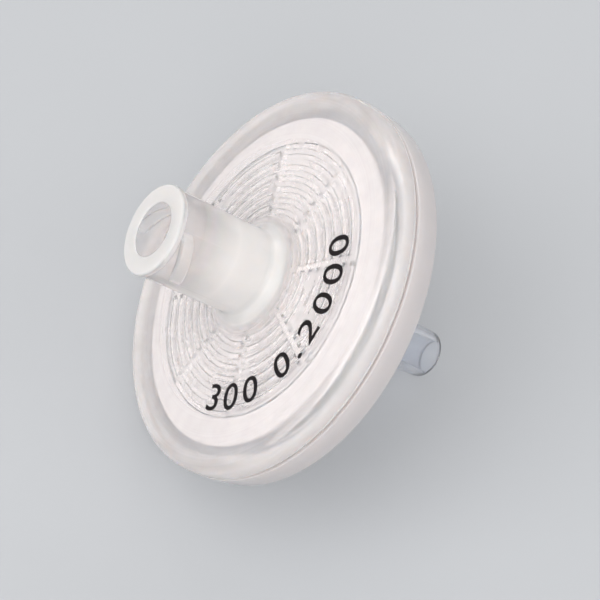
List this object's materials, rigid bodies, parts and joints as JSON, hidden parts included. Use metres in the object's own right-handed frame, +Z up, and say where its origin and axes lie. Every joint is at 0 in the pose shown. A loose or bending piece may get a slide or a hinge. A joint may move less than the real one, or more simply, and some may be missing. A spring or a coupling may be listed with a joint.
{
  "type": "syringe filter",
  "caption": "Disc syringe filter: translucent shells around a white membrane, with a lock hub on one face and a slip nozzle on the other.",
  "frame": {"origin": "on the surface that the filter lies on, at the middle of its bounding box", "axes": "+Z up; the flow axis lies in the XZ plane, 41.9 degrees above the surface, with the inlet hub towards -X and up and the outlet nozzle towards +X and down"},
  "size_m": [0.0256, 0.0312, 0.0254],
  "materials": {
    "inlet_polypropylene": "moulded natural polypropylene, clear to milky, satin",
    "outlet_polypropylene": "moulded natural polypropylene, milky, satin",
    "membrane": "white porous film, matt",
    "print_ink": "black pad-printed ink"
  },
  "bodies": {
    "root": {"inlet_housing": "inlet_polypropylene", "membrane": "membrane", "outlet_housing": "outlet_polypropylene"}
  },
  "joints": []
}
